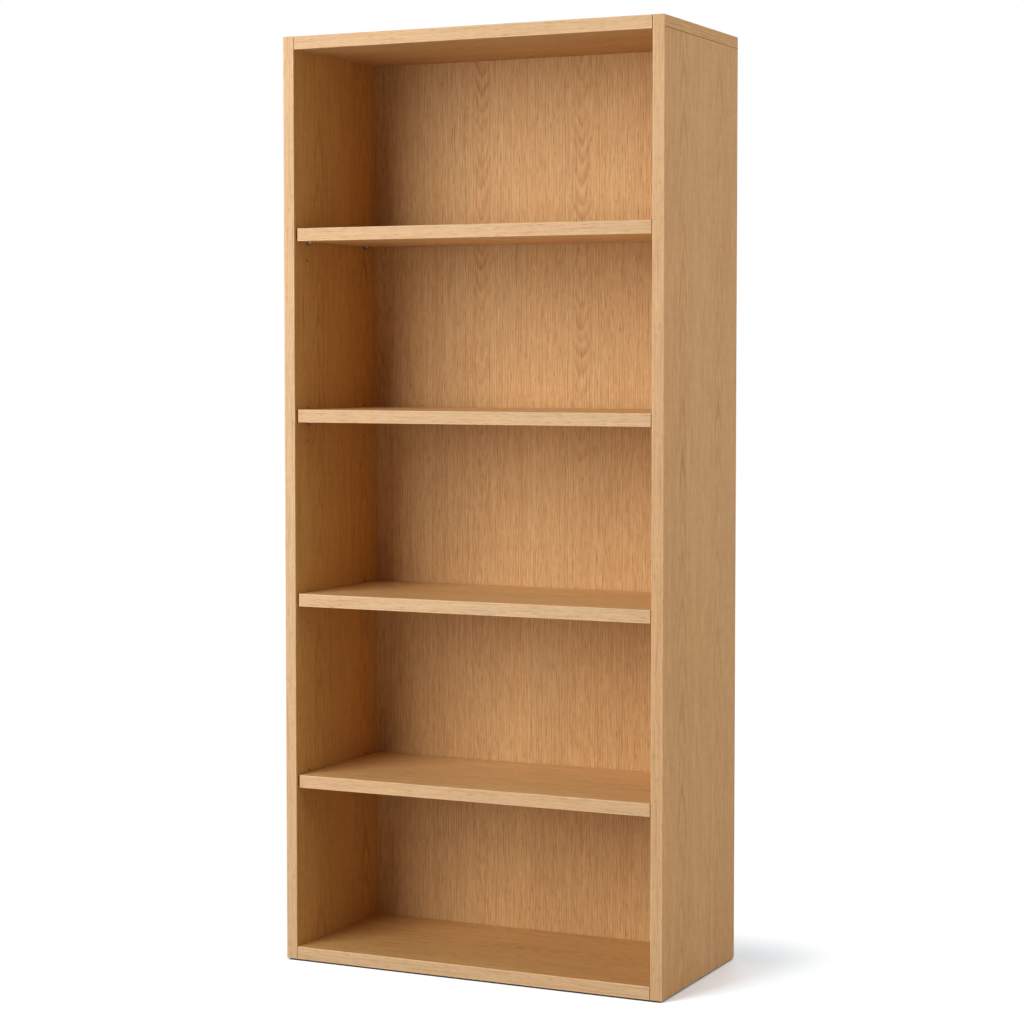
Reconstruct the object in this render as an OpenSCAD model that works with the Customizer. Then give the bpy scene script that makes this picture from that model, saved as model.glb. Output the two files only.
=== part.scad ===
// Bookcase with adjustable shelves: a glued oak-veneered carcass, a grooved-in back panel and
// four loose shelves, each standing on four steel pins in rows of holes.
// Origin: centre of the footprint, on the floor. +Z is up and the open front faces -Y.

/* [Overall] */
// Width over both side panels
overall_width = 793; // [550:1:1000]
// Depth from the front edges to the rear edges
overall_depth = 380; // [300:1:450]
// Height from the floor to the upper face of the top panel
overall_height = 1800; // [1650:1:2200]

/* [Boards] */
// Thickness of each side panel
side_thickness = 23; // [18:0.5:30]
// Thickness of the top panel
top_thickness = 25; // [20:0.5:35]
// Thickness of the bottom panel
bottom_thickness = 25; // [18:0.5:35]
// Thickness of each shelf
shelf_thickness = 25; // [18:0.5:35]
// Thickness of the back panel
back_thickness = 6; // [4:0.5:9]
// Depth of the open recess behind the back panel
rear_recess = 43; // [40:1:70]
// Depth of the rebate under each end of the top panel, which fits down over a side panel
rebate_depth = 3; // [1:0.5:6]

/* [Edges] */
// Thickness of the solid lipping on every front edge
lipping_thickness = 2; // [1:0.5:4]
// Thickness of the edging on each end of the top panel
edging_thickness = 1.5; // [0.8:0.1:3]
// Radius of the eased arrises
arris_radius = 1.2; // [0.4:0.1:1.8]
// Width of the small chamfer that marks the seam between each side and the top panel
seam_chamfer = 0.5; // [0.2:0.1:1]

/* [Bays] */
// Clear height of the lowest bay
lowest_bay = 313; // [250:1:380]
// Clear height of the second bay from the bottom
second_bay = 331; // [250:1:400]
// Clear height of the third bay from the bottom
third_bay = 334; // [250:1:400]
// Clear height of the fourth bay from the bottom
fourth_bay = 326; // [250:1:400]

/* [Shelves] */
// Distance of a shelf's front edge behind the front of the carcass
shelf_setback = 6; // [0:1:20]
// Gap between a shelf and the side panel at each end
shelf_end_gap = 3.5; // [2.5:0.5:5]
// Gap between a shelf and the back panel
shelf_back_gap = 2; // [1:0.5:5]

/* [Back groove] */
// Depth of the groove that holds the back panel
groove_depth = 8; // [5:0.5:10]
// Extra width of the groove behind the back panel
groove_play = 0.2; // [0.1:0.1:0.5]
// Gap between the back panel's edge and the bottom of the groove
groove_end_gap = 1; // [0.5:0.5:2]

/* [Pin holes] */
// Diameter of a shelf-pin hole
pin_hole_diameter = 5; // [4:0.5:6]
// Depth of a shelf-pin hole
pin_hole_depth = 12; // [10:0.5:14]
// Height step between one shelf position and the next
hole_pitch = 32; // [25:1:40]
// Distance of the front row of holes behind the front of the carcass
front_row_inset = 50; // [35:1:90]
// Distance of the rear row of holes ahead of the back panel
rear_row_inset = 50; // [35:1:90]

/* [Shelf pins] */
// Radial gap between a pin's shank and its hole
pin_fit_gap = 0.05; // [0.02:0.01:0.1]
// Length of a pin's shank
pin_shank_length = 10; // [8:0.5:10]
// Width of the collar's ledge around the shank
collar_ledge = 1; // [0.6:0.1:1.5]
// Thickness of the collar
collar_thickness = 1.2; // [0.8:0.1:2]
// Height of the paddle's flat top above the collar
seat_clearance = 0.3; // [0.3:0.1:1]
// Length of the paddle under the shelf, from the side panel to its round tip
paddle_length = 12; // [9:0.5:16]
// Width of the paddle
paddle_width = 11; // [8:0.5:14]
// Thickness of the paddle
paddle_thickness = 2.5; // [1.5:0.1:3.5]
// Length of the stiffening rib under the paddle
rib_length = 7; // [4:0.5:8]

/* [Dowels] */
// Diameter of a dowel
dowel_diameter = 8; // [6:0.5:10]
// Length of a dowel
dowel_length = 35; // [30:1:40]
// Length of a dowel that sits in the face of a board
dowel_in_face = 12; // [8:0.5:14]
// Gap between a dowel's end and the bottom of its hole
dowel_end_gap = 1; // [0.5:0.5:2]
// Radial glue gap around a dowel
dowel_fit_gap = 0.05; // [0.02:0.01:0.2]
// Number of dowels in each top and bottom joint
dowels_per_joint = 4; // [2:1:5]
// Distance of the outermost dowels from the front edge and from the back panel
dowel_inset = 45; // [40:1:60]

/* [Fixing rail] */
// Height of the rail behind the top of the back panel
rail_height = 70; // [50:1:100]
// Thickness of the rail
rail_thickness = 18; // [14:0.5:19]
// Height between the two dowels in each end of the rail
rail_dowel_spacing = 36; // [24:1:38]

/* [Anti-tip bracket] */
// Width of the flat bracket
bracket_width = 40; // [36:1:60]
// Height of the bracket's part that lies on the rail
bracket_grip = 28; // [20:1:40]
// Height of the bracket's part that stands free below the rail
bracket_drop = 22; // [18:1:30]
// Thickness of the bracket's plate
bracket_thickness = 2; // [1.5:0.5:3]
// Radius of the bracket's corners
bracket_corner = 5; // [2:0.5:9]
// Diameter of the hole for the wall strap
strap_hole_diameter = 6; // [4:0.5:7]
// Distance between the two bracket screws
screw_spacing = 24; // [18:1:26]
// Diameter of a bracket screw's shank
screw_diameter = 4; // [3:0.5:4.5]
// Diameter of a bracket screw's head
screw_head_diameter = 7.5; // [6:0.5:9]
// Height of a bracket screw's head
screw_head_height = 2.2; // [1.5:0.1:3]
// Radial gap around a bracket screw
screw_fit_gap = 0.1; // [0.05:0.05:0.3]
// Wood left between a screw's tip and the front of the rail
screw_tip_cover = 3; // [2:0.5:6]
// Length of the pilot hole beyond a screw's tip
pilot_end_gap = 1; // [0.5:0.5:1.5]

/* [Floor glides] */
// Height of a glide, which is also the gap under the carcass
glide_height = 3; // [2.5:0.5:8]
// Diameter of a glide
glide_diameter = 18; // [12:1:18]
// Distance of the glides from the front and rear edges
glide_inset = 25; // [12:1:30]
// Diameter of the nail through a glide
nail_diameter = 2; // [1.5:0.1:2.5]
// Length of the nail in the side panel
nail_grip = 14; // [10:1:20]
// Gap between the nail's tip and the end of its hole
nail_end_gap = 1; // [0.5:0.5:2]
// Diameter of the nail's head
nail_head_diameter = 6; // [4:0.5:7]
// Thickness of the nail's head
nail_head_thickness = 1; // [0.5:0.1:1.2]
// Depth of the nail's head above the floor
nail_head_recess = 0.4; // [0.3:0.1:1]
// Radial gap around the nail
nail_fit_gap = 0.05; // [0.02:0.01:0.2]

/* [Hidden] */
$fn = 64;

// Signs that place a piece: LEFT is -X and FRONT is -Y
LEFT = -1;
RIGHT = 1;
FRONT = -1;
REAR = 1;

// Corners of an outline: whether each lies at the low or the high end of the two directions
LOW_LOW = [0, 0];
HIGH_LOW = [1, 0];
LOW_HIGH = [0, 1];
HIGH_HIGH = [1, 1];

oak_face = [0.78, 0.60, 0.41];
oak_edge = [0.88, 0.72, 0.53];
oak_back = [0.72, 0.53, 0.34];
rail_wood = [0.82, 0.70, 0.53];
beech = [0.85, 0.72, 0.55];
steel = [0.70, 0.71, 0.73];
glide_plastic = [0.25, 0.22, 0.20];

// How far a cutting shape runs past the face that it cuts
cut_past = 1;

// Faces of the carcass
half_width = overall_width / 2;
inner_half = half_width - side_thickness;
front_y = -overall_depth / 2;
rear_y = overall_depth / 2;
board_front_y = front_y + lipping_thickness;
base_z = glide_height;
bottom_top_z = base_z + bottom_thickness;
top_under_z = overall_height - top_thickness;
side_top_z = top_under_z + rebate_depth;
top_half_length = half_width - edging_thickness;
side_middle = inner_half + side_thickness / 2;

// An arris leaves at least this much of the strip of wood that it is worked on
least_flat = 0.2;
lipping_arris = min(arris_radius, lipping_thickness - least_flat);
edging_arris = min(arris_radius, edging_thickness - least_flat);

// Back panel and its groove
back_rear_y = rear_y - rear_recess;
back_front_y = back_rear_y - back_thickness;
groove_rear_y = back_rear_y + groove_play;
back_in_groove = groove_depth - groove_end_gap;

// Shelves, numbered from the bottom
SHELVES = [1, 2, 3, 4];
shelf_half_length = inner_half - shelf_end_gap;
shelf_front_y = front_y + shelf_setback;
shelf_board_front_y = shelf_front_y + lipping_thickness;
shelf_rear_y = back_front_y - shelf_back_gap;
function bay_height(shelf) = [lowest_bay, second_bay, third_bay, fourth_bay][shelf - 1];
function shelf_under_z(shelf) =
    bay_height(shelf) + (shelf == 1 ? bottom_top_z : shelf_top_z(shelf - 1));
function shelf_top_z(shelf) = shelf_under_z(shelf) + shelf_thickness;

// Shelf pins and their holes
pin_hole_radius = pin_hole_diameter / 2;
shank_radius = pin_hole_radius - pin_fit_gap;
collar_radius = pin_hole_radius + collar_ledge;
seat_height = collar_radius + seat_clearance;
front_row_y = front_y + front_row_inset;
rear_row_y = back_front_y - rear_row_inset;
HOLE_STEPS = [-1, 0, 1];
function row_y(row) = row == FRONT ? front_row_y : rear_row_y;
function pin_axis_z(shelf) = shelf_under_z(shelf) - seat_height;

// Dowels
dowel_radius = dowel_diameter / 2;
dowel_hole_radius = dowel_radius + dowel_fit_gap;
face_hole_depth = dowel_in_face + dowel_end_gap;
end_hole_depth = dowel_length - dowel_in_face + dowel_end_gap;
first_dowel_y = front_y + dowel_inset;
last_dowel_y = back_front_y - dowel_inset;
dowel_step = (last_dowel_y - first_dowel_y) / (dowels_per_joint - 1);
dowel_ys = [for (i = [0 : dowels_per_joint - 1]) first_dowel_y + i * dowel_step];
bottom_dowel_z = base_z + bottom_thickness / 2;

// Fixing rail and bracket
rail_rear_y = back_rear_y + rail_thickness;
rail_middle_y = back_rear_y + rail_thickness / 2;
rail_under_z = top_under_z - rail_height;
rail_middle_z = top_under_z - rail_height / 2;
rail_dowel_zs = [for (step = [-0.5, 0.5]) rail_middle_z + step * rail_dowel_spacing];
bracket_under_z = rail_under_z - bracket_drop;
bracket_top_z = rail_under_z + bracket_grip;
strap_hole_z = rail_under_z - bracket_drop / 2;
screw_z = rail_under_z + bracket_grip / 2;
screw_radius = screw_diameter / 2;
screw_hole_radius = screw_radius + screw_fit_gap;
screw_grip = rail_thickness - screw_tip_cover;
pilot_depth = screw_grip + pilot_end_gap;

// Glides
glide_radius = glide_diameter / 2;
nail_radius = nail_diameter / 2;
nail_hole_radius = nail_radius + nail_fit_gap;
nail_head_radius = nail_head_diameter / 2;
nail_head_top_z = nail_head_recess + nail_head_thickness;
nail_hole_top_z = base_z + nail_grip + nail_end_gap;
function glide_y(row) = row * (rear_y - glide_inset);

// ---- Shapes that repeat ----

// A block between its lowest and highest corners
module block(low, high) {
    translate(low)
        cube(high - low);
}

// A rectangle between two corners, with the named corners rounded
module eased_outline(low, high, radius, corners) {
    size = high - low;
    translate(low)
        difference() {
            square(size);
            for (corner = corners)
                translate([corner.x * size.x, corner.y * size.y])
                    mirror([corner.x, 0])
                        mirror([0, corner.y])
                            difference() {
                                translate([-cut_past, -cut_past])
                                    square(radius + cut_past);
                                translate([radius, radius])
                                    circle(r = radius);
                            }
        }
}

// Extrudes an outline drawn in Y and Z along +X
module along_x(start, length) {
    translate([start, 0, 0])
        rotate([90, 0, 90])
            linear_extrude(height = length)
                children();
}

// Extrudes an outline drawn in X and Z along +Y
module along_y(start, length) {
    translate([0, start + length, 0])
        rotate([90, 0, 0])
            linear_extrude(height = length)
                children();
}

// Extrudes an outline drawn in X and Y along +Z
module along_z(start, length) {
    translate([0, 0, start])
        linear_extrude(height = length)
            children();
}

// A round bar along +X that starts at the given point
module bar_x(start, radius, length) {
    translate(start)
        rotate([0, 90, 0])
            cylinder(r = radius, h = length);
}

// A round bar along +Y that starts at the given point
module bar_y(start, radius, length) {
    translate(start)
        rotate([-90, 0, 0])
            cylinder(r = radius, h = length);
}

// A round bar along +Z that starts at the given point
module bar_z(start, radius, length) {
    translate(start)
        cylinder(r = radius, h = length);
}

// Draws a right-hand piece on the side asked for
module on_side(side) {
    mirror([side == LEFT ? 1 : 0, 0, 0])
        children();
}

// Shelf-pin holes of every shelf: its own height and one step above and below
module pin_holes() {
    for (shelf = SHELVES, step = HOLE_STEPS, row = [FRONT, REAR])
        bar_x(
            [inner_half - cut_past, row_y(row), pin_axis_z(shelf) + step * hole_pitch],
            pin_hole_radius,
            pin_hole_depth + cut_past
        );
}

// Holes in a side panel for the dowels of the top, the bottom and the rail
module side_dowel_holes() {
    for (y = dowel_ys) {
        bar_z([side_middle, y, side_top_z - end_hole_depth], dowel_hole_radius, end_hole_depth + cut_past);
        bar_x([inner_half - cut_past, y, bottom_dowel_z], dowel_hole_radius, face_hole_depth + cut_past);
    }
    for (z = rail_dowel_zs)
        bar_x([inner_half - cut_past, rail_middle_y, z], dowel_hole_radius, face_hole_depth + cut_past);
}

// Triangle that a side panel's upper outer arris loses at the seam with the top panel
module seam_cut() {
    reach = seam_chamfer + cut_past;
    polygon([
        [half_width - seam_chamfer, side_top_z],
        [half_width + cut_past, side_top_z - reach],
        [half_width + cut_past, side_top_z + cut_past],
        [half_width - seam_chamfer, side_top_z + cut_past]
    ]);
}

// Right-hand side panel
module side_panel() {
    difference() {
        along_z(base_z, side_top_z - base_z)
            eased_outline([inner_half, board_front_y], [half_width, rear_y], arris_radius, [HIGH_HIGH]);
        block(
            [inner_half - cut_past, back_front_y, base_z - cut_past],
            [inner_half + groove_depth, groove_rear_y, side_top_z + cut_past]
        );
        along_y(board_front_y - cut_past, overall_depth + cut_past)
            seam_cut();
        pin_holes();
        side_dowel_holes();
        for (row = [FRONT, REAR])
            bar_z(
                [side_middle, glide_y(row), base_z - cut_past],
                nail_hole_radius,
                nail_hole_top_z - base_z + cut_past
            );
    }
}

// Solid front lipping between its lowest and highest corners, with its front edges and ends eased
module front_lipping(low, high) {
    intersection() {
        along_x(low.x, high.x - low.x)
            eased_outline([low.y, low.z], [high.y, high.z], lipping_arris, [LOW_LOW, LOW_HIGH]);
        along_z(low.z, high.z - low.z)
            eased_outline([low.x, low.y], [high.x, high.y], lipping_arris, [LOW_LOW, HIGH_LOW]);
    }
}

// Right-hand front lipping of the carcass, from the base to the very top
module side_front_lipping() {
    intersection() {
        front_lipping([inner_half, front_y, base_z], [half_width, board_front_y, overall_height]);
        along_y(front_y, lipping_thickness)
            eased_outline([inner_half, base_z], [half_width, overall_height], edging_arris, [HIGH_HIGH]);
    }
}

// Right-hand edging that covers the end of the top panel
module top_end_edging() {
    low = [top_half_length, board_front_y, side_top_z];
    high = [half_width, rear_y, overall_height];
    intersection() {
        along_x(low.x, high.x - low.x)
            eased_outline([low.y, low.z], [high.y, high.z], edging_arris, [HIGH_HIGH]);
        along_y(low.y, high.y - low.y)
            eased_outline([low.x, low.z], [high.x, high.z], edging_arris, [HIGH_HIGH]);
        along_z(low.z, high.z - low.z)
            eased_outline([low.x, low.y], [high.x, high.y], edging_arris, [HIGH_HIGH]);
    }
}

// Board of one shelf, behind its lipping
module shelf_board(shelf) {
    block(
        [-shelf_half_length, shelf_board_front_y, shelf_under_z(shelf)],
        [shelf_half_length, shelf_rear_y, shelf_top_z(shelf)]
    );
}

// Front lipping of one shelf
module shelf_front_lipping(shelf) {
    front_lipping(
        [-shelf_half_length, shelf_front_y, shelf_under_z(shelf)],
        [shelf_half_length, shelf_board_front_y, shelf_top_z(shelf)]
    );
}

// Outline of a paddle seen from above: straight sides and a round tip
module paddle_outline() {
    tip_radius = paddle_width / 2;
    translate([0, -tip_radius])
        square([paddle_length - tip_radius, paddle_width]);
    translate([paddle_length - tip_radius, 0])
        circle(r = tip_radius);
}

// Shelf pin for the left side panel, with its hole's mouth at the origin and its paddle along +X
module loose_pin() {
    bar_x([-pin_shank_length, 0, 0], shank_radius, pin_shank_length + rib_length);
    bar_x([0, 0, 0], collar_radius, collar_thickness);
    translate([0, 0, seat_height - paddle_thickness])
        linear_extrude(height = paddle_thickness)
            paddle_outline();
}

// Shelf pin in its hole under one shelf
module shelf_pin(shelf, row, side) {
    translate([side * inner_half, row_y(row), pin_axis_z(shelf)])
        mirror([side == RIGHT ? 1 : 0, 0, 0])
            loose_pin();
}

// Dowels that stand in the right-hand side panel's upper edge
module top_dowels() {
    for (y = dowel_ys)
        bar_z([side_middle, y, side_top_z + dowel_in_face - dowel_length], dowel_radius, dowel_length);
}

// Dowels between the bottom panel and the right-hand side panel
module bottom_dowels() {
    for (y = dowel_ys)
        bar_x([inner_half + dowel_in_face - dowel_length, y, bottom_dowel_z], dowel_radius, dowel_length);
}

// Dowels between the fixing rail and the right-hand side panel
module rail_dowels() {
    for (z = rail_dowel_zs)
        bar_x([inner_half + dowel_in_face - dowel_length, rail_middle_y, z], dowel_radius, dowel_length);
}

// Floor glide under one corner, with a seat for the nail's head
module glide(row, side) {
    middle = [side * side_middle, glide_y(row), 0];
    difference() {
        bar_z(middle, glide_radius, glide_height);
        bar_z(middle - [0, 0, cut_past], nail_hole_radius, glide_height + 2 * cut_past);
        bar_z(middle - [0, 0, cut_past], nail_head_radius + nail_fit_gap, nail_head_top_z + cut_past);
    }
}

// Nail that holds one glide
module glide_nail(row, side) {
    middle = [side * side_middle, glide_y(row), 0];
    bar_z(middle + [0, 0, nail_head_recess], nail_head_radius, nail_head_thickness);
    bar_z(middle + [0, 0, nail_head_recess], nail_radius, base_z + nail_grip - nail_head_recess);
}

// Places its children at each bracket screw, on the rear face of the rail
module at_bracket_screws() {
    for (side = [LEFT, RIGHT])
        translate([side * screw_spacing / 2, rail_rear_y, screw_z])
            children();
}

// ---- Carcass ----

module left_side() {
    color(oak_face)
        on_side(LEFT)
            side_panel();
}

module right_side() {
    color(oak_face)
        on_side(RIGHT)
            side_panel();
}

module top_panel() {
    color(oak_face)
        difference() {
            along_x(-top_half_length, 2 * top_half_length)
                eased_outline(
                    [board_front_y, top_under_z],
                    [rear_y, overall_height],
                    arris_radius,
                    [HIGH_HIGH]
                );
            for (side = [LEFT, RIGHT])
                on_side(side) {
                    block(
                        [inner_half, board_front_y - cut_past, top_under_z - cut_past],
                        [half_width, rear_y + cut_past, side_top_z]
                    );
                    for (y = dowel_ys)
                        bar_z(
                            [side_middle, y, side_top_z - cut_past],
                            dowel_hole_radius,
                            face_hole_depth + cut_past
                        );
                }
            block(
                [-inner_half - groove_depth, back_front_y, top_under_z - cut_past],
                [inner_half + groove_depth, groove_rear_y, top_under_z + groove_depth]
            );
        }
}

module bottom_panel() {
    color(oak_face)
        difference() {
            block([-inner_half, board_front_y, base_z], [inner_half, rear_y, bottom_top_z]);
            block(
                [-inner_half - cut_past, back_front_y, bottom_top_z - groove_depth],
                [inner_half + cut_past, groove_rear_y, bottom_top_z + cut_past]
            );
            for (side = [LEFT, RIGHT], y = dowel_ys)
                on_side(side)
                    bar_x(
                        [inner_half - end_hole_depth, y, bottom_dowel_z],
                        dowel_hole_radius,
                        end_hole_depth + cut_past
                    );
        }
}

module back_panel() {
    color(oak_back)
        block(
            [-inner_half - back_in_groove, back_front_y, bottom_top_z - back_in_groove],
            [inner_half + back_in_groove, back_rear_y, top_under_z + back_in_groove]
        );
}

module fixing_rail() {
    color(rail_wood)
        difference() {
            block([-inner_half, back_rear_y, rail_under_z], [inner_half, rail_rear_y, top_under_z]);
            for (side = [LEFT, RIGHT], z = rail_dowel_zs)
                on_side(side)
                    bar_x(
                        [inner_half - end_hole_depth, rail_middle_y, z],
                        dowel_hole_radius,
                        end_hole_depth + cut_past
                    );
            at_bracket_screws()
                bar_y([0, -pilot_depth, 0], screw_hole_radius, pilot_depth + cut_past);
        }
}

module left_side_lipping() {
    color(oak_edge)
        on_side(LEFT)
            side_front_lipping();
}

module right_side_lipping() {
    color(oak_edge)
        on_side(RIGHT)
            side_front_lipping();
}

module top_lipping() {
    color(oak_edge)
        front_lipping([-inner_half, front_y, top_under_z], [inner_half, board_front_y, overall_height]);
}

module bottom_lipping() {
    color(oak_edge)
        front_lipping([-inner_half, front_y, base_z], [inner_half, board_front_y, bottom_top_z]);
}

module top_left_edging() {
    color(oak_edge)
        on_side(LEFT)
            top_end_edging();
}

module top_right_edging() {
    color(oak_edge)
        on_side(RIGHT)
            top_end_edging();
}

// ---- Shelves ----

module shelf_1() { color(oak_face) shelf_board(1); }
module shelf_2() { color(oak_face) shelf_board(2); }
module shelf_3() { color(oak_face) shelf_board(3); }
module shelf_4() { color(oak_face) shelf_board(4); }
module shelf_1_lipping() { color(oak_edge) shelf_front_lipping(1); }
module shelf_2_lipping() { color(oak_edge) shelf_front_lipping(2); }
module shelf_3_lipping() { color(oak_edge) shelf_front_lipping(3); }
module shelf_4_lipping() { color(oak_edge) shelf_front_lipping(4); }

// ---- Shelf pins ----

module shelf_1_pin_front_left() { color(steel) shelf_pin(1, FRONT, LEFT); }
module shelf_1_pin_front_right() { color(steel) shelf_pin(1, FRONT, RIGHT); }
module shelf_1_pin_rear_left() { color(steel) shelf_pin(1, REAR, LEFT); }
module shelf_1_pin_rear_right() { color(steel) shelf_pin(1, REAR, RIGHT); }
module shelf_2_pin_front_left() { color(steel) shelf_pin(2, FRONT, LEFT); }
module shelf_2_pin_front_right() { color(steel) shelf_pin(2, FRONT, RIGHT); }
module shelf_2_pin_rear_left() { color(steel) shelf_pin(2, REAR, LEFT); }
module shelf_2_pin_rear_right() { color(steel) shelf_pin(2, REAR, RIGHT); }
module shelf_3_pin_front_left() { color(steel) shelf_pin(3, FRONT, LEFT); }
module shelf_3_pin_front_right() { color(steel) shelf_pin(3, FRONT, RIGHT); }
module shelf_3_pin_rear_left() { color(steel) shelf_pin(3, REAR, LEFT); }
module shelf_3_pin_rear_right() { color(steel) shelf_pin(3, REAR, RIGHT); }
module shelf_4_pin_front_left() { color(steel) shelf_pin(4, FRONT, LEFT); }
module shelf_4_pin_front_right() { color(steel) shelf_pin(4, FRONT, RIGHT); }
module shelf_4_pin_rear_left() { color(steel) shelf_pin(4, REAR, LEFT); }
module shelf_4_pin_rear_right() { color(steel) shelf_pin(4, REAR, RIGHT); }

// ---- Dowels ----

module top_left_dowels() { color(beech) on_side(LEFT) top_dowels(); }
module top_right_dowels() { color(beech) on_side(RIGHT) top_dowels(); }
module bottom_left_dowels() { color(beech) on_side(LEFT) bottom_dowels(); }
module bottom_right_dowels() { color(beech) on_side(RIGHT) bottom_dowels(); }
module rail_left_dowels() { color(beech) on_side(LEFT) rail_dowels(); }
module rail_right_dowels() { color(beech) on_side(RIGHT) rail_dowels(); }

// ---- Floor glides ----

module glide_front_left() { color(glide_plastic) glide(FRONT, LEFT); }
module glide_front_right() { color(glide_plastic) glide(FRONT, RIGHT); }
module glide_rear_left() { color(glide_plastic) glide(REAR, LEFT); }
module glide_rear_right() { color(glide_plastic) glide(REAR, RIGHT); }

module glide_nails() {
    color(steel)
        for (row = [FRONT, REAR], side = [LEFT, RIGHT])
            glide_nail(row, side);
}

// ---- Anti-tip bracket ----

module anti_tip_bracket() {
    color(steel)
        difference() {
            along_y(rail_rear_y, bracket_thickness)
                eased_outline(
                    [-bracket_width / 2, bracket_under_z],
                    [bracket_width / 2, bracket_top_z],
                    bracket_corner,
                    [LOW_LOW, HIGH_LOW, LOW_HIGH, HIGH_HIGH]
                );
            at_bracket_screws()
                bar_y([0, -cut_past, 0], screw_hole_radius, bracket_thickness + 2 * cut_past);
            bar_y(
                [0, rail_rear_y - cut_past, strap_hole_z],
                strap_hole_diameter / 2,
                bracket_thickness + 2 * cut_past
            );
        }
}

module bracket_screws() {
    color(steel)
        at_bracket_screws() {
            bar_y([0, -screw_grip, 0], screw_radius, screw_grip + bracket_thickness);
            bar_y([0, bracket_thickness, 0], screw_head_diameter / 2, screw_head_height);
        }
}

left_side();
right_side();
top_panel();
bottom_panel();
back_panel();
fixing_rail();
left_side_lipping();
right_side_lipping();
top_lipping();
bottom_lipping();
top_left_edging();
top_right_edging();
shelf_1();
shelf_2();
shelf_3();
shelf_4();
shelf_1_lipping();
shelf_2_lipping();
shelf_3_lipping();
shelf_4_lipping();
shelf_1_pin_front_left();
shelf_1_pin_front_right();
shelf_1_pin_rear_left();
shelf_1_pin_rear_right();
shelf_2_pin_front_left();
shelf_2_pin_front_right();
shelf_2_pin_rear_left();
shelf_2_pin_rear_right();
shelf_3_pin_front_left();
shelf_3_pin_front_right();
shelf_3_pin_rear_left();
shelf_3_pin_rear_right();
shelf_4_pin_front_left();
shelf_4_pin_front_right();
shelf_4_pin_rear_left();
shelf_4_pin_rear_right();
top_left_dowels();
top_right_dowels();
bottom_left_dowels();
bottom_right_dowels();
rail_left_dowels();
rail_right_dowels();
glide_front_left();
glide_front_right();
glide_rear_left();
glide_rear_right();
glide_nails();
anti_tip_bracket();
bracket_screws();
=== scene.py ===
import math

import bpy
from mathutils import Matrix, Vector


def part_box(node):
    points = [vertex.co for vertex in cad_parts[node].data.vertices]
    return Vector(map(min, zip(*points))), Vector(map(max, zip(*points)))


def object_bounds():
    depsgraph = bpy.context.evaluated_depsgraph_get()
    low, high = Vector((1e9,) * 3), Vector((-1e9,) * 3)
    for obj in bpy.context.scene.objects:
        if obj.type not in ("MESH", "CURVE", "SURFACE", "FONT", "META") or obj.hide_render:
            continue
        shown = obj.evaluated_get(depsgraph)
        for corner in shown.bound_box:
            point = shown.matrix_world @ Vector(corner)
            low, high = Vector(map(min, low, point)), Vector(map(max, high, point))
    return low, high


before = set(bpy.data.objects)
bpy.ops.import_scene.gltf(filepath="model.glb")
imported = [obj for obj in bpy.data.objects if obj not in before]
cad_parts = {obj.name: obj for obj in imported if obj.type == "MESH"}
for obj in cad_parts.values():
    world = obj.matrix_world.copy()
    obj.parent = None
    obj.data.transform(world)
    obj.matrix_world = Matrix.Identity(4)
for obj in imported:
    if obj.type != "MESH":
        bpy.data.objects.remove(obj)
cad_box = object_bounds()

# Everything is in metres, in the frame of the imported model: +Z up, open front towards -Y.


def add_object(name, data):
    """An object of the scene that shows the given data."""
    made = bpy.data.objects.new(name, data)
    bpy.context.collection.objects.link(made)
    return made


# ---- Camera ----

CAMERA_PLACE = (2.1116, -4.4522, 1.1883)
LOOK_DOWN_DEGREES = 2.865
CAMERA_TILT = math.radians(90 - LOOK_DOWN_DEGREES)
CAMERA_YAW = math.radians(25.341)
CAMERA_LENS = 89.01
CAMERA_SHIFT_Y = -0.0303
SENSOR_WIDTH = 36.0


def make_camera():
    """A distant camera that looks slightly down, with a small shift, so that upright edges look upright."""
    data = bpy.data.cameras.new("camera")
    data.lens = CAMERA_LENS
    data.sensor_width = SENSOR_WIDTH
    data.shift_y = CAMERA_SHIFT_Y
    camera = add_object("camera", data)
    camera.location = CAMERA_PLACE
    camera.rotation_euler = (CAMERA_TILT, 0.0, CAMERA_YAW)
    bpy.context.scene.camera = camera


# ---- Colours ----

WHITE = (1.0, 1.0, 1.0, 1.0)


def linear(red, green, blue):
    """A colour picked on a screen (sRGB, 0 to 255) as the linear colour that shaders use."""
    shares = [channel / 255 for channel in (red, green, blue)]
    return tuple(s / 12.92 if s < 0.04045 else ((s + 0.055) / 1.055) ** 2.4 for s in shares) + (1.0,)


# ---- Building node trees ----

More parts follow.
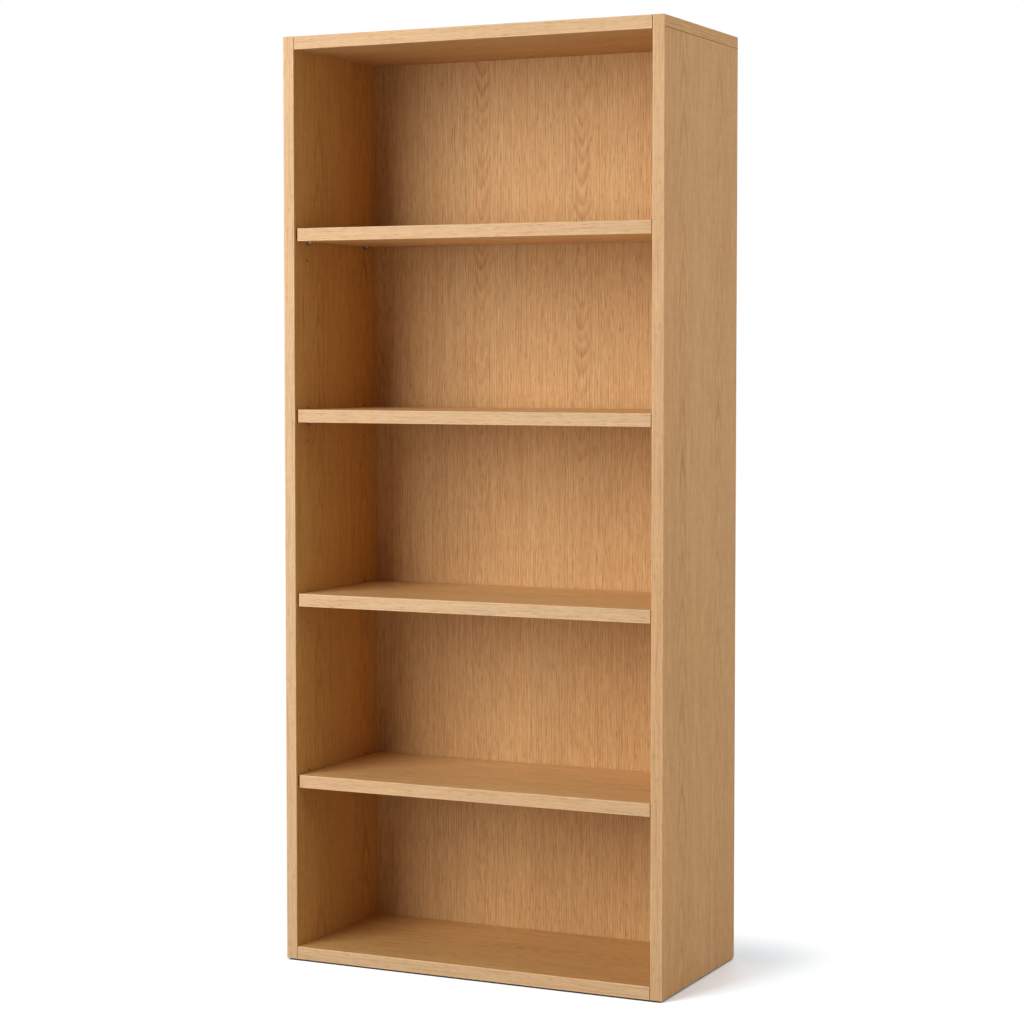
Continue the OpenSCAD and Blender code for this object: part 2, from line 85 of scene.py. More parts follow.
class Graph:
    """Adds and links the nodes of one tree.

    A source is a number, a colour or another node's output.
    """

    def __init__(self, tree):
        self.tree = tree

    def add(self, kind, **settings):
        node = self.tree.nodes.new(kind)
        for name, value in settings.items():
            setattr(node, name, value)
        return node

    def feed(self, socket, source):
        """Puts a source into a socket."""
        if isinstance(source, bpy.types.NodeSocket):
            self.tree.links.new(source, socket)
        else:
            socket.default_value = source

    def feed_all(self, node, sources):
        """Feeds a node's first sockets, and returns its first result."""
        for socket, source in zip(node.inputs, sources):
            self.feed(socket, source)
        return node.outputs[0]

    def math(self, operation, *sources, clamp=False):
        return self.feed_all(self.add("ShaderNodeMath", operation=operation, use_clamp=clamp), sources)

    def total(self, *sources):
        result = sources[0]
        for source in sources[1:]:
            result = self.math("ADD", result, source)
        return result

    def product(self, *sources):
        result = sources[0]
        for source in sources[1:]:
            result = self.math("MULTIPLY", result, source)
        return result

    def difference(self, source, taken):
        return self.math("SUBTRACT", source, taken)

    def ramp(self, start, source, slope):
        """The start, plus the source times the slope."""
        return self.math("ADD", start, self.math("MULTIPLY", source, slope))

    def vector(self, x, y, z):
        return self.feed_all(self.add("ShaderNodeCombineXYZ"), (x, y, z))

    def split(self, vector):
        """The three parts of a vector, which are also named X, Y and Z."""
        node = self.add("ShaderNodeSeparateXYZ")
        self.feed(node.inputs[0], vector)
        return node.outputs

    def scaled(self, vector, factors):
        return self.feed_all(self.add("ShaderNodeVectorMath", operation="MULTIPLY"), (vector, factors))

    def place(self):
        """Where a point is on its own piece, so that the texture moves with the piece."""
        return self.add("ShaderNodeTexCoord").outputs["Object"]

    def random(self, number):
        """A random value from 0 to 1 that stays the same for the same number."""
        node = self.add("ShaderNodeTexWhiteNoise", noise_dimensions="1D")
        self.feed(node.inputs["W"], number)
        return node.outputs["Value"]

    def noise(self, vector, waves, detail=2.0, roughness=0.5):
        """Smooth noise from 0 to 1, with the given number of waves to the metre each way."""
        node = self.add("ShaderNodeTexNoise")
        self.feed(node.inputs["Vector"], self.scaled(vector, waves))
        self.feed(node.inputs["Scale"], 1.0)
        self.feed(node.inputs["Detail"], detail)
        self.feed(node.inputs["Roughness"], roughness)
        return node.outputs[0]

    def swing(self, source, size):
        """A value from 0 to 1 as a swing about 0 of the given size."""
        return self.math("MULTIPLY", self.difference(source, 0.5), size)

    def smooth(self, source, low, high):
        """0 below low, 1 above high, and a smooth rise between."""
        node = self.add("ShaderNodeMapRange", interpolation_type="SMOOTHSTEP")
        self.feed(node.inputs["Value"], source)
        self.feed(node.inputs["From Min"], low)
        self.feed(node.inputs["From Max"], high)
        return node.outputs["Result"]

    def fall(self, source, low, high):
        """1 below low, 0 above high, and a smooth fall between."""
        return self.difference(1.0, self.smooth(source, low, high))

    def wander(self, vector, waves, size, detail=2.0):
        """Noise as a swing about 0 of the given size."""
        return self.swing(self.noise(vector, waves, detail), size)

    def patches(self, vector, waves, low, high, detail=2.0):
        """1 where noise is above high, 0 where it is below low."""
        return self.smooth(self.noise(vector, waves, detail), low, high)

    def mix(self, share, first, second, blend="MIX"):
        """The first colour, with the given share of it turned into the second."""
        node = self.add("ShaderNodeMix", data_type="RGBA", blend_type=blend)
        self.feed(node.inputs["Factor"], share)
        colours = [socket for socket in node.inputs if socket.type == "RGBA"]
        self.feed(colours[0], first)
        self.feed(colours[1], second)
        return [socket for socket in node.outputs if socket.type == "RGBA"][0]

    def tinted(self, share, colour, tint):
        """A colour, with the given share of it multiplied by a tint."""
        return self.mix(share, colour, self.mix(1.0, colour, tint, blend="MULTIPLY"))

    def blend(self, share, first, second):
        """The first shader, with the given share of it turned into the second."""
        return self.feed_all(self.add("ShaderNodeMixShader"), (share, first, second))

    def surface(self, colour, roughness, bumps, bump_strength, bump_height, **sources):
        """Ends a material with one surface. The further sources are named after its sockets."""
        bump = self.add("ShaderNodeBump")
        self.feed(bump.inputs["Strength"], bump_strength)
        self.feed(bump.inputs["Distance"], bump_height)
        self.feed(bump.inputs["Height"], bumps)
        shader = self.add("ShaderNodeBsdfPrincipled")
        self.feed(shader.inputs["Base Color"], colour)
        self.feed(shader.inputs["Roughness"], roughness)
        self.feed(shader.inputs["Normal"], bump.outputs["Normal"])
        for name, source in sources.items():
            self.feed(shader.inputs[name.replace("_", " ")], source)
        self.end(shader.outputs["BSDF"])

    def end(self, shader, output="ShaderNodeOutputMaterial"):
        """Makes a shader the tree's result."""
        self.feed(self.add(output).inputs["Surface"], shader)


def empty_graph(owner):
    """The node tree of a material or a world, emptied."""
    owner.use_nodes = True
    owner.node_tree.nodes.clear()
    return Graph(owner.node_tree)


# ---- Oak ----

# Numbers that the oak group takes, with what an ordinary leaf has
OAK_NUMBERS = {
    "Leaf middle": 0.0,
    "Leaf width": 0.19,
    "Ring width": 0.0058,
    "Rings": 0.32,
    "Arch slope": -2.6,
    "Arch step": 0.040,
    "Arch width": 0.024,
    "Arches": 0.32,
    "Plain below": 0.0,
    "Streaks": 1.0,
    "Pores": 1.0,
    "Sheen": 0.0,
}

# Noises, each with its waves to the metre across the face, through it and along the grain

# What moves the figure: waves, and the length of the swing
SWAY = ((1.0, 1.0, 2.4), 0.016)
SLOW_WARP = ((17.0, 17.0, 2.2), 0.009)
FINE_WARP = ((130.0, 130.0, 9.0), 0.0018)
RIPPLE = ((14.0, 14.0, 15.0), 0.006)
STRETCH = ((9.0, 9.0, 6.5), 0.085)
SKEW = ((65.0, 65.0, 22.0), 0.034)
# What changes the tone: waves, and the swing as a share of the way from the dark to the pale colour
BROAD_STREAKS = ((64.0, 64.0, 2.2), 0.22)
MIDDLING_STREAKS = ((250.0, 250.0, 5.0), 0.36)
FINE_STREAKS = ((640.0, 640.0, 26.0), 0.95)
CLOUDS = ((5.0, 5.0, 1.3), 0.35)
# What comes in patches: waves, and the noise at which a patch starts and is full
BOLD_ARCHES = ((3.0, 3.0, 5.0), 0.25, 0.60)
WARM_PATCHES = ((22.0, 22.0, 1.9), 0.35, 0.65)
FLECKS = ((240.0, 240.0, 46.0), 0.63, 0.74)
# The same where rings add to the noise: waves, what the rings add, and where a patch starts and is full
HAIRLINES = ((560.0, 560.0, 7.0), 0.12, 0.56, 0.74)
DASHES = ((1700.0, 1700.0, 46.0), 0.17, 0.60, 0.72)

# How far a leaf is slipped along the grain against its neighbours, at most
LEAF_SLIP = 0.23
# Rings seen as lines and as arches: how fast the dark wood fades, and the share of a ring it sets in over
LINE_FADE = (2.6, 0.12)
ARCH_FADE = (1.5, 0.35)
# Depth of the faintest ring, and how much deeper the darkest one is
FAINTEST_RING = 0.45
RING_SPREAD = 0.9
# Waves of the noise that the lines come and go with, and what they keep where it is 0
LINE_WAVES = (150.0, 150.0, 7.0)
LEAST_LINE = 0.45
# The lines ripple beside the column of arches, up to this many times the column's half width
RIPPLE_REACH = 2.5
# Share of the lines far from the column, what is added beside it, and the share lost inside it
FAR_LINES = 0.75
BESIDE_LINES = 0.25
COLUMN_LOSS = 0.6
# Radius of an arch's tip, what the faint arches keep, and how much of the column's half width is full
TIP_RADIUS = 0.006
LEAST_ARCH = 0.35
COLUMN_CORE = 0.3
# How far above and below its height the figure turns plain, and what plain arches keep
PLAIN_FADE = 0.3
PLAIN_ARCHES = 0.45
# What the arches lose in all leaves but the two at the heart
OUTER_LOSS = 0.55
# Tone without streaks, the swing between leaves, and how far its draw's number is off the slip's
USUAL_TONE = 0.62
LEAF_TONES = 0.06
LEAF_TONE_DRAW = 7.0

# Tints, and how strongly hairlines and flecks show
WARM_TINT = (1.02, 0.98, 0.94, 1.0)
PORE_TINT = (0.62, 0.53, 0.45, 1.0)
FLECK_TINT = (1.10, 1.10, 1.09, 1.0)
HAIRLINE_SHARE = 0.5
FLECK_SHARE = 0.5
# Roughness of the matt lacquer, and what the pores and the fibres add to it
MATT_ROUGHNESS = 0.54
PORE_ROUGHNESS = 0.14
FIBRE_ROUGHNESS = 0.12
# Height of the fibres, where the depth of a pore is 1
FIBRE_HEIGHT = 0.5


def make_oak_group():
    """Oak veneer as a solid texture, with places in metres: across the face, through it, along the grain.

    A leaf is one width of sliced veneer. It has a column of nested arches up its middle, and its
    growth rings run beside them as lines along the grain.
    """
    tree = bpy.data.node_groups.new("oak", "ShaderNodeTree")
    face = tree.interface
    face.new_socket("Grain", in_out="INPUT", socket_type="NodeSocketVector")
    for name in OAK_NUMBERS:
        face.new_socket(name, in_out="INPUT", socket_type="NodeSocketFloat")
    for name in ("Dark", "Pale"):
        face.new_socket(name, in_out="INPUT", socket_type="NodeSocketColor")
    face.new_socket("Color", in_out="OUTPUT", socket_type="NodeSocketColor")
    for name in ("Roughness", "Height"):
        face.new_socket(name, in_out="OUTPUT", socket_type="NodeSocketFloat")

    g = Graph(tree)
    given = g.add("NodeGroupInput").outputs
    across, through, along = g.split(given["Grain"])

    # Which leaf this is, and the distance from its middle, which sways a little along the grain
    from_first = g.difference(across, given["Leaf middle"])
    leaf = g.math("ROUND", g.math("DIVIDE", from_first, given["Leaf width"]))
    leaf_luck = g.random(leaf)
    slipped = g.ramp(along, leaf_luck, LEAF_SLIP)
    place = g.vector(g.math("ADD", across, leaf_luck), through, slipped)
    sway = g.wander(g.vector(leaf_luck, 0.0, slipped), *SWAY)
    leaf_middle = g.product(leaf, given["Leaf width"])
    from_middle = g.difference(g.math("ADD", from_first, sway), leaf_middle)
    side = g.math("ABSOLUTE", from_middle)

    def ring_shade(count, speed, onset):
        """Growth rings: dark early wood that fades into pale late wood, deeper in some than in others."""
        phase = g.math("FRACT", count)
        fade = g.math("POWER", g.difference(1.0, phase), speed)
        depth = g.ramp(FAINTEST_RING, g.random(g.math("FLOOR", count)), RING_SPREAD)
        return g.product(fade, g.smooth(phase, 0.0, onset), depth)

    # Rings cut along their length: long thin lines, which fade in and out
    half_width = given["Arch width"]
    beside = g.fall(side, half_width, g.product(half_width, RIPPLE_REACH))
    ripple = g.product(g.wander(place, *RIPPLE), beside)
    spread = g.total(side, g.wander(place, *SLOW_WARP), g.wander(place, *FINE_WARP), ripple)
    lines = ring_shade(g.math("DIVIDE", spread, given["Ring width"]), *LINE_FADE)
    strength = g.math("ADD", LEAST_LINE, g.noise(place, LINE_WAVES))
    lines = g.product(lines, strength, given["Rings"])

    # Rings cut across the heart of the leaf: blurred arches with round tips, some bolder than others
    blunt = g.math("SQRT", g.math("ADD", g.product(from_middle, from_middle), TIP_RADIUS ** 2))
    climb = g.product(blunt, given["Arch slope"])
    stretch = g.wander(place, *STRETCH, detail=1.0)
    skew = g.wander(place, *SKEW)
    arch_count = g.math("DIVIDE", g.total(slipped, climb, stretch, skew), given["Arch step"])
    boldness = g.math("ADD", LEAST_ARCH, g.patches(place, *BOLD_ARCHES))
    arches = g.product(ring_shade(arch_count, *ARCH_FADE), boldness, given["Arches"])

    # Plainer arches below the given height, and in all leaves but numbers 0 and 1, next to the heart
    plain_end = given["Plain below"]
    figured = g.smooth(along, g.difference(plain_end, PLAIN_FADE), g.math("ADD", plain_end, PLAIN_FADE))
    leaves_out = g.difference(g.math("ABSOLUTE", g.difference(leaf, 0.5)), 0.5)
    loss = g.product(g.math("MINIMUM", leaves_out, 1.0), OUTER_LOSS)
    arches = g.product(arches, g.ramp(PLAIN_ARCHES, figured, 1 - PLAIN_ARCHES), g.difference(1.0, loss))

    # The arches fade out at the edges of their column, and the lines are weaker inside it
    in_column = g.fall(side, g.product(half_width, COLUMN_CORE), half_width)
    line_share = g.ramp(FAR_LINES, beside, BESIDE_LINES)
    line_share = g.product(line_share, g.difference(1.0, g.product(in_column, COLUMN_LOSS)))
    rings = g.math("ADD", g.product(lines, line_share), g.product(arches, in_column))

    # Streaks and fibres, and slow changes of tone
    fibres = g.wander(place, *FINE_STREAKS)
    streaks = g.total(g.wander(place, *BROAD_STREAKS), g.wander(place, *MIDDLING_STREAKS), fibres)
    leaf_tone = g.swing(g.random(g.math("ADD", leaf, LEAF_TONE_DRAW)), LEAF_TONES)
    streaks = g.product(streaks, given["Streaks"])
    tone = g.total(USUAL_TONE, streaks, g.wander(place, *CLOUDS), leaf_tone)
    tone = g.math("SUBTRACT", tone, rings, clamp=True)
    wood = g.mix(tone, given["Dark"], given["Pale"])
    wood = g.tinted(g.patches(place, *WARM_PATCHES), wood, WARM_TINT)

    def pore_patches(waves, ring_share, low, high):
        """Pores: patches of fine noise, closest together at the start of a ring."""
        noise = g.noise(place, waves, detail=1.0)
        return g.smooth(g.ramp(noise, rings, ring_share), low, high)

    # Hairlines are long dark pores that follow the grain, and open pores are short dark dashes
    hairlines = g.product(pore_patches(*HAIRLINES), HAIRLINE_SHARE)
    pores = g.product(g.math("MAXIMUM", pore_patches(*DASHES), hairlines), given["Pores"])
    colour = g.tinted(pores, wood, PORE_TINT)

    # Rays: short pale flecks across the fibres
    flecks = g.patches(place, *FLECKS, detail=1.0)
    colour = g.tinted(g.product(flecks, FLECK_SHARE), colour, FLECK_TINT)

    matt = g.difference(MATT_ROUGHNESS, given["Sheen"])
    roughness = g.total(matt, g.product(pores, PORE_ROUGHNESS), g.product(fibres, FIBRE_ROUGHNESS))
    height = g.difference(g.product(fibres, FIBRE_HEIGHT), pores)
    made = g.add("NodeGroupOutput").inputs
    g.feed(made["Color"], colour)
    g.feed(made["Roughness"], roughness)
    g.feed(made["Height"], height)
    return tree


# Which axes of the model run across the face, through it and along the grain
UPRIGHT_FACING_X = ("Y", "X", "Z")
UPRIGHT_FACING_Y = ("X", "Y", "Z")
LEVEL_FACING_Z = ("Y", "Z", "X")
LEVEL_FACING_Y = ("Z", "Y", "X")
LEVEL_FACING_X = ("Z", "X", "Y")

# Dark and pale colour of each wood, and of copies of the veneer and the lipping that carry painted light
# and shade
VENEER = (linear(168, 120, 69), linear(222, 182, 127))
# Painted shade: a warmer, less blue copy of the veneer for the left side, whose inner face sits in shade
SHADED_LEFT_VENEER = (linear(169, 117, 55), linear(222, 176, 104))
# Painted shade: a warmer copy of the veneer for the right side, which faces away from the key light
SHADED_RIGHT_VENEER = (linear(169, 117, 64), linear(222, 177, 119))
# Painted light: paler copies of the veneer for the shelves and, less pale, for the bottom, standing in for
# the light and sheen on their top faces
LIT_SHELF_VENEER = (linear(192, 141, 82), linear(242, 203, 143))
LIT_BOTTOM_VENEER = (linear(176, 125, 66), linear(227, 185, 122))
LIPPING = (linear(183, 142, 99), linear(224, 189, 147))
# Painted shade: a warmer copy of the lipping for the right side, away from the key light
SHADED_RIGHT_LIPPING = (linear(182, 137, 91), linear(222, 183, 137))
RAIL_WOOD = (linear(186, 146, 98), linear(236, 208, 164))
BEECH = (linear(188, 140, 98), linear(228, 188, 146))

GRAIN_BUMP = 0.5
GRAIN_HEIGHT = 0.00012
MATT_GLOSS = 0.2
SATIN_GLOSS = 0.5
# Reach of the dark line along a joint, the same where one piece carries all of it, the share of it
# that is fully dark, and what it leaves of the wood's colour
JOINT_LINE = 0.0009
WHOLE_JOINT_LINE = 0.0017
JOINT_CORE = 0.5
JOINT_TINT = (0.38, 0.30, 0.24, 1.0)
# Reach of the painted highlight along a rounded arris, the share of it that is fully pale, and how pale.
# The paler wood stands in for the light that the eased edge catches.
ARRIS_REACH = 0.0022
ARRIS_CORE = 0.4
ARRIS_HIGHLIGHT_TINT = (1.20, 1.21, 1.22, 1.0)


def oak_material(
    name, grain, luck, palette, joints=(), joint_line=JOINT_LINE, arrises=(), gloss=MATT_GLOSS, **numbers
):
    """Wood for one piece, from the dark and the pale colour of a palette.

    luck shifts the texture along the grain, so that no two pieces match. Each joint is an axis and a
    place on it where the piece meets its neighbour, and shows as a thin dark line. Each arris is an
    axis and the place of a rounded edge on it, painted a little paler than the face: a painted highlight
    where the eased edge would catch the light.
    """
    material = bpy.data.materials.new(name)
    g = empty_graph(material)
    parts = g.split(g.place())
    across, through, along = [parts[axis] for axis in grain]
    oak = g.add("ShaderNodeGroup", node_tree=OAK)
    g.feed(oak.inputs["Grain"], g.vector(across, through, g.math("ADD", along, luck)))
    for number, usual in OAK_NUMBERS.items():
        g.feed(oak.inputs[number], numbers.get(number.lower().replace(" ", "_"), usual))
    dark, pale = palette
    g.feed(oak.inputs["Dark"], dark)
    g.feed(oak.inputs["Pale"], pale)
    colour = oak.outputs["Color"]
    stripes = [(joint, joint_line, JOINT_CORE, JOINT_TINT) for joint in joints]
    # Painted highlights along the rounded arrises
    stripes += [(arris, ARRIS_REACH, ARRIS_CORE, ARRIS_HIGHLIGHT_TINT) for arris in arrises]
    for (axis, where), reach, core, tint in stripes:
        distance = g.math("ABSOLUTE", g.difference(parts[axis], where))
        colour = g.tinted(g.fall(distance, reach * core, reach), colour, tint)
    roughness, bumps = oak.outputs["Roughness"], oak.outputs["Height"]
    g.surface(colour, roughness, bumps, GRAIN_BUMP, GRAIN_HEIGHT, Specular_IOR_Level=gloss)
    return material


# ---- Metal and plastic ----

NICKEL = linear(168, 158, 144)
NICKEL_ROUGHNESS = 0.40
ZINC = linear(160, 164, 170)
ZINC_ROUGHNESS = 0.42
# Waves to the metre of the scratches along the pins and up the bracket
PIN_SCRATCHES = (90.0, 1500.0, 1500.0)
BRACKET_SCRATCHES = (900.0, 900.0, 60.0)
SCRATCH_ROUGHNESS = 0.16
SCRATCH_BUMP = 0.25
SCRATCH_DEPTH = 0.00005
BLOTCH_WAVES = (160.0, 160.0, 160.0)
BLOTCH_ROUGHNESS = 0.12
BLOTCH_TINT = (0.80, 0.80, 0.78, 1.0)

PLASTIC = linear(58, 48, 42)
PLASTIC_ROUGHNESS = 0.5
MOULD_WAVES = (2600.0, 2600.0, 2600.0)
MOULD_ROUGHNESS = 0.1
MOULD_BUMP = 0.4
MOULD_DEPTH = 0.0001
# Waves of the dust, and the noise at which it starts and is full
DUST = ((210.0, 210.0, 210.0), 0.45, 0.75)
DUST_ROUGHNESS = 0.15
DUST_TINT = (1.6, 1.55, 1.45, 1.0)


def metal_material(name, colour, roughness, scratch_waves):
    """Plated steel: fine scratches and slow changes of sheen."""
    material = bpy.data.materials.new(name)
    g = empty_graph(material)
    place = g.place()
    scratches = g.noise(place, scratch_waves, detail=3.0, roughness=0.7)
    blotches = g.noise(place, BLOTCH_WAVES, detail=3.0)
    uneven = g.total(roughness, g.swing(scratches, SCRATCH_ROUGHNESS), g.swing(blotches, BLOTCH_ROUGHNESS))
    shade = g.tinted(blotches, colour, BLOTCH_TINT)
    g.surface(shade, uneven, scratches, SCRATCH_BUMP, SCRATCH_DEPTH, Metallic=1.0)
    return material


def plastic_material(name, colour, roughness):
    """Moulded plastic with a fine spark-eroded grain and a little dust."""
    material = bpy.data.materials.new(name)
    g = empty_graph(material)
    place = g.place()
    grain = g.noise(place, MOULD_WAVES)
    dust = g.patches(place, *DUST, detail=4.0)
    uneven = g.total(roughness, g.swing(grain, MOULD_ROUGHNESS), g.swing(dust, DUST_ROUGHNESS))
    g.surface(g.tinted(dust, colour, DUST_TINT), uneven, grain, MOULD_BUMP, MOULD_DEPTH)
    return material


# ---- Dressing the CAD nodes ----

# How far each piece's texture is shifted along its grain
LUCK = {
    "left_side": 3.1,
    "right_side": 5.8,
    "left_side_lipping": 11.3,
    "right_side_lipping": 16.4,
    "top_left_edging": 17.9,
    "top_right_edging": 21.2,
    "top_panel": 23.7,
    "bottom_panel": 28.6,
    "top_lipping": 31.1,
    "bottom_lipping": 37.4,
    "back_panel": 41.3,
    "fixing_rail": 47.7,
    "shelf_1": 57.0,
    "shelf_2": 60.7,
    "shelf_3": 64.4,
    "shelf_4": 68.1,
    "shelf_1_lipping": 78.2,
    "shelf_2_lipping": 82.5,
    "shelf_3_lipping": 86.8,
    "shelf_4_lipping": 91.1,
    "dowels": 91.0,
}
# Place of a leaf's middle on each board, across its grain
LEAF_MIDDLE = {
    "top_panel": -0.06,
    "bottom_panel": -0.01,
    "back_panel": -0.133,
    "shelf_1": -0.055,
    "shelf_2": -0.02,
    "shelf_3": 0.015,
    "shelf_4": 0.05,
}
SHELVES = ("shelf_1", "shelf_2", "shelf_3", "shelf_4")

# Figure of the sides: wider arches, farther apart and steeper, whose tips point up
SIDE_FIGURE = dict(leaf_width=0.185, arch_slope=5.0, arch_step=0.09, arch_width=0.030, arches=0.30)
BACK_LEAF = 0.221
# Height on the back panel below which its figure is plainer
BACK_PLAIN_HEIGHT = 1.05
# No arches: one wide leaf whose middle is far away
STRAIGHT = dict(leaf_middle=20.0, leaf_width=60.0)
EDGING_FIGURE = dict(rings=0.25, **STRAIGHT)
LIPPING_FIGURE = dict(rings=0.18, streaks=0.62, **STRAIGHT)
# Another wood for the rail, with close rings and no open pores, and its heart near the lower edge
RAIL_FIGURE = dict(leaf_middle=1.70, leaf_width=2.0, ring_width=0.0046, rings=0.5, pores=0.0)
BEECH_FIGURE = dict(leaf_width=8.0, rings=0.2, pores=0.3)
# Boards that things stand on: a smoother lacquer, and fibres that show more
LEVEL_FINISH = dict(gloss=SATIN_GLOSS, sheen=0.14, streaks=1.35)


def dress(node, material):
    """Gives a CAD node one material."""
    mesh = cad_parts[node].data
    mesh.materials.clear()
    mesh.materials.append(material)


def dress_oak(node, grain, palette, **details):
    """Gives a CAD node oak of its own, named after it."""
    dress(node, oak_material(f"{node.replace('_', ' ')} oak", grain, LUCK[node], palette, **details))


def edges(node, axis):
    """The two ends of a node on an axis, as places for arrises."""
    low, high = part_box(node)
    place = "XYZ".index(axis)
    return [(axis, low[place]), (axis, high[place])]


def dress_lipping(node, grain, across_axis, palette=LIPPING, joints=()):
    """Solid oak along the front edge of a board: plain straight grain, with a painted highlight along both
    long arrises.
    """
    dress_oak(
        node, grain, palette, joints=joints, joint_line=WHOLE_JOINT_LINE,
        arrises=edges(node, across_axis), **LIPPING_FIGURE,
    )


def dress_carcass():
    inner_half = -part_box("top_lipping")[0].x
    # The sides take the copies with painted shade in them
    side_palettes = {"left": (SHADED_LEFT_VENEER, LIPPING), "right": (SHADED_RIGHT_VENEER, SHADED_RIGHT_LIPPING)}
    for side, (veneer, lipping) in side_palettes.items():
        low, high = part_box(f"{side}_side")
        dress_oak(
            f"{side}_side", UPRIGHT_FACING_X, veneer,
            joints=[("Z", high.z)], leaf_middle=low.y / 2, **SIDE_FIGURE,
        )
        dress_lipping(f"{side}_side_lipping", UPRIGHT_FACING_Y, "X", lipping)
        edging_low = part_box(f"top_{side}_edging")[0]
        dress_oak(
            f"top_{side}_edging", LEVEL_FACING_X, veneer, joints=[("Z", edging_low.z)], **EDGING_FIGURE,
        )
    for board in ("top", "bottom"):
        joints = [("X", -inner_half), ("X", inner_half)]
        dress_lipping(f"{board}_lipping", LEVEL_FACING_Y, "Z", joints=joints)
    dress_oak("top_panel", LEVEL_FACING_Z, VENEER, leaf_middle=LEAF_MIDDLE["top_panel"])
    dress_oak(
        "bottom_panel", LEVEL_FACING_Z, LIT_BOTTOM_VENEER,
        leaf_middle=LEAF_MIDDLE["bottom_panel"], **LEVEL_FINISH,
    )
    dress_oak(
        "back_panel", UPRIGHT_FACING_Y, VENEER, leaf_middle=LEAF_MIDDLE["back_panel"],
        leaf_width=BACK_LEAF, plain_below=LUCK["back_panel"] + BACK_PLAIN_HEIGHT,
    )
    rail_wood = oak_material("rail wood", LEVEL_FACING_Y, LUCK["fixing_rail"], RAIL_WOOD, **RAIL_FIGURE)
    dress("fixing_rail", rail_wood)


def dress_shelves():
    for shelf in SHELVES:
        dress_oak(shelf, LEVEL_FACING_Z, LIT_SHELF_VENEER, leaf_middle=LEAF_MIDDLE[shelf], **LEVEL_FINISH)
        dress_lipping(f"{shelf}_lipping", LEVEL_FACING_Y, "Z")


def dress_hardware():
    nickel = metal_material("nickel plate", NICKEL, NICKEL_ROUGHNESS, PIN_SCRATCHES)
    zinc = metal_material("zinc plate", ZINC, ZINC_ROUGHNESS, BRACKET_SCRATCHES)
    plastic = plastic_material("dark plastic", PLASTIC, PLASTIC_ROUGHNESS)
    beech = oak_material("beech", LEVEL_FACING_Y, LUCK["dowels"], BEECH, **BEECH_FIGURE)
    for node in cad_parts:
        if "_pin_" in node:
            dress(node, nickel)
        elif node.endswith("_dowels"):
            dress(node, beech)
        elif node.startswith("glide_") and node != "glide_nails":
            dress(node, plastic)
    for node in ("glide_nails", "anti_tip_bracket", "bracket_screws"):
        dress(node, zinc)


# ---- Floor, backdrop and light ----

FLOOR_REACH = 14.0
# Floor as it lights the object, and as it is seen: bright and a little cool, so that it shows as white
FLOOR_WHITE = (0.66, 0.66, 0.65, 1.0)
FLOOR_SHOWN = (1.50, 1.65, 1.78, 1.0)
# Distances from the footprint between which the shadow on the floor fades into the white
SHADOW_FADE = (0.0, 0.27)
# How deep under the footprint the floor turns dark, and what it keeps of its light there: painted
# shade, which stands in for the contact shadow under the object
FOOT_DEPTH = 0.004
FOOT_SHADE_TINT = (0.15, 0.14, 0.13, 1.0)
# Strength of the floor's own light far from the object, and of the light from all round
FLOOR_GLOW = 1.04
AMBIENT = 0.12
# Soft boxes: place, point that each faces, width, height and power
KEY_BOX = ((-1.95, -3.85, 2.4), (0.0, 0.0, 1.0), 2.7, 3.8, 216.0)
SIDE_BOX = ((3.7, 0.0, 1.8), (0.4, 0.0, 0.9), 2.8, 2.6, 63.0)
REAR_BOX = ((-0.6, 4.4, 1.8), (0.0, 0.0, 0.9), 3.0, 2.4, 70.0)


def seen_directly(g):
    """1 for rays that show the background: from the camera, or by way of gloss or glass."""
    rays = g.add("ShaderNodeLightPath").outputs
    shown = g.math("MAXIMUM", rays["Is Camera Ray"], rays["Is Glossy Ray"])
    return g.math("MAXIMUM", shown, rays["Is Transmission Ray"])


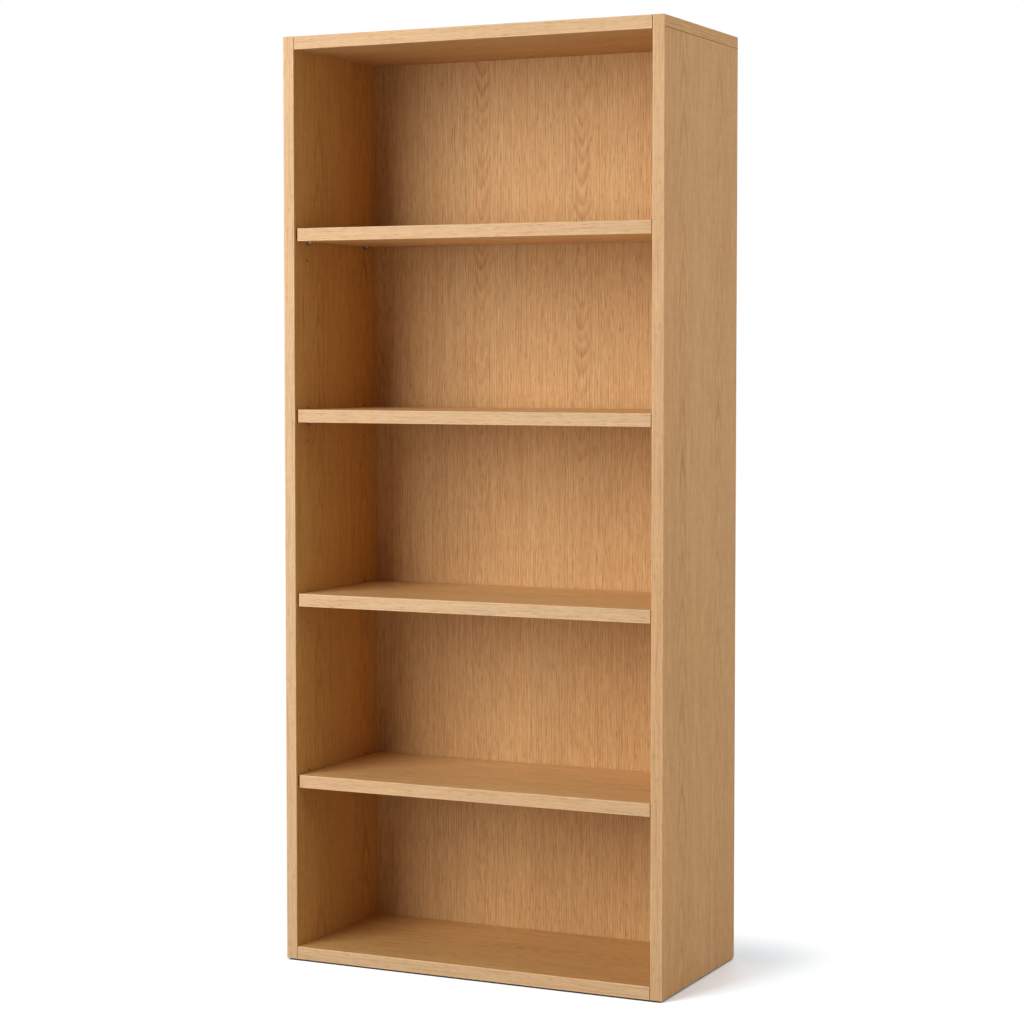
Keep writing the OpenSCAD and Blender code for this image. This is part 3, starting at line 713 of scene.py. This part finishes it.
def make_floor():
    """A white floor that takes the object's shadow and fades into the white backdrop, with painted shade
    under the footprint.
    """
    mesh = bpy.data.meshes.new("floor")
    corners = [(-1, -1), (1, -1), (1, 1), (-1, 1)]
    mesh.from_pydata([(x * FLOOR_REACH, y * FLOOR_REACH, 0.0) for x, y in corners], [], [(0, 1, 2, 3)])
    floor = add_object("floor", mesh)
    material = bpy.data.materials.new("white floor")
    g = empty_graph(material)
    beyond = []
    for place, reach in zip(g.split(g.place()), cad_box[1][:2]):
        beyond.append(g.difference(g.math("ABSOLUTE", place), reach))
    outside = [g.math("MAXIMUM", gap, 0.0) for gap in beyond]
    distance = g.math("SQRT", g.total(*[g.product(gap, gap) for gap in outside]))
    depth = g.product(g.math("MAXIMUM", *beyond), -1.0)
    shown = seen_directly(g)
    white = g.mix(shown, FLOOR_WHITE, FLOOR_SHOWN)
    matt = g.add("ShaderNodeBsdfDiffuse")
    # Painted shade: the floor under the footprint is darkened as a contact shadow
    g.feed(matt.inputs["Color"], g.tinted(g.smooth(depth, 0.0, FOOT_DEPTH), white, FOOT_SHADE_TINT))
    glow = g.add("ShaderNodeEmission")
    g.feed(glow.inputs["Strength"], FLOOR_GLOW)
    faded = g.product(g.smooth(distance, *SHADOW_FADE), shown)
    g.end(g.blend(faded, matt.outputs[0], glow.outputs[0]))
    mesh.materials.append(material)


def make_world():
    """Even white light from all round, with a pure white background where it is seen."""
    world = bpy.data.worlds.new("studio")
    g = empty_graph(world)
    light = g.add("ShaderNodeBackground")
    g.feed(light.inputs["Strength"], AMBIENT)
    backdrop = g.add("ShaderNodeBackground")
    for node in (light, backdrop):
        g.feed(node.inputs["Color"], WHITE)
    g.end(g.blend(seen_directly(g), light.outputs[0], backdrop.outputs[0]), "ShaderNodeOutputWorld")
    bpy.context.scene.world = world


def make_soft_box(name, place, aim, width, height, power):
    """A soft box that faces a point."""
    data = bpy.data.lights.new(name, "AREA")
    data.shape = "RECTANGLE"
    data.size = width
    data.size_y = height
    data.energy = power
    lamp = add_object(name, data)
    lamp.location = place
    lamp.rotation_euler = (Vector(aim) - Vector(place)).to_track_quat("-Z", "Y").to_euler()


OAK = make_oak_group()
make_camera()
dress_carcass()
dress_shelves()
dress_hardware()
make_floor()
make_world()
make_soft_box("key", *KEY_BOX)
make_soft_box("side", *SIDE_BOX)
make_soft_box("rear", *REAR_BOX)
bpy.context.scene.view_settings.view_transform = "Standard"
